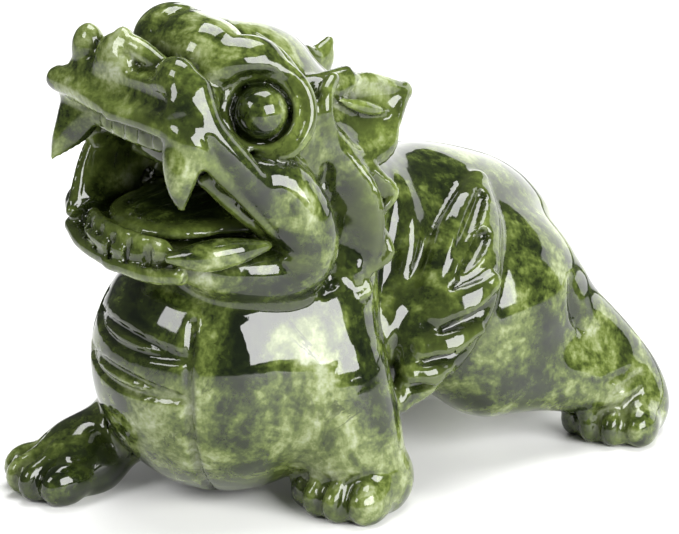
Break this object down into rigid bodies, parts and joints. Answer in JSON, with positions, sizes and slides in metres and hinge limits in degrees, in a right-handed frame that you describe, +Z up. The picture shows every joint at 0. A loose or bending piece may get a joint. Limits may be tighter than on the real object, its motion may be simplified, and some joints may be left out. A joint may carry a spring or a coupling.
{
  "type": "jade animal statue",
  "caption": "Polished jade pixiu, a winged lion-like guardian with an open fanged mouth, carved in one piece and striding low on its paws.",
  "frame": {"origin": "middle of the bounding box's footprint, at the level of the soles", "axes": "+Z up, the animal faces -Y, its left side is +X"},
  "size_m": [0.073, 0.1154, 0.0854],
  "materials": {
    "jade": "polished, mottled green"
  },
  "bodies": {
    "root": {"pixiu_statue": "jade"}
  },
  "joints": []
}
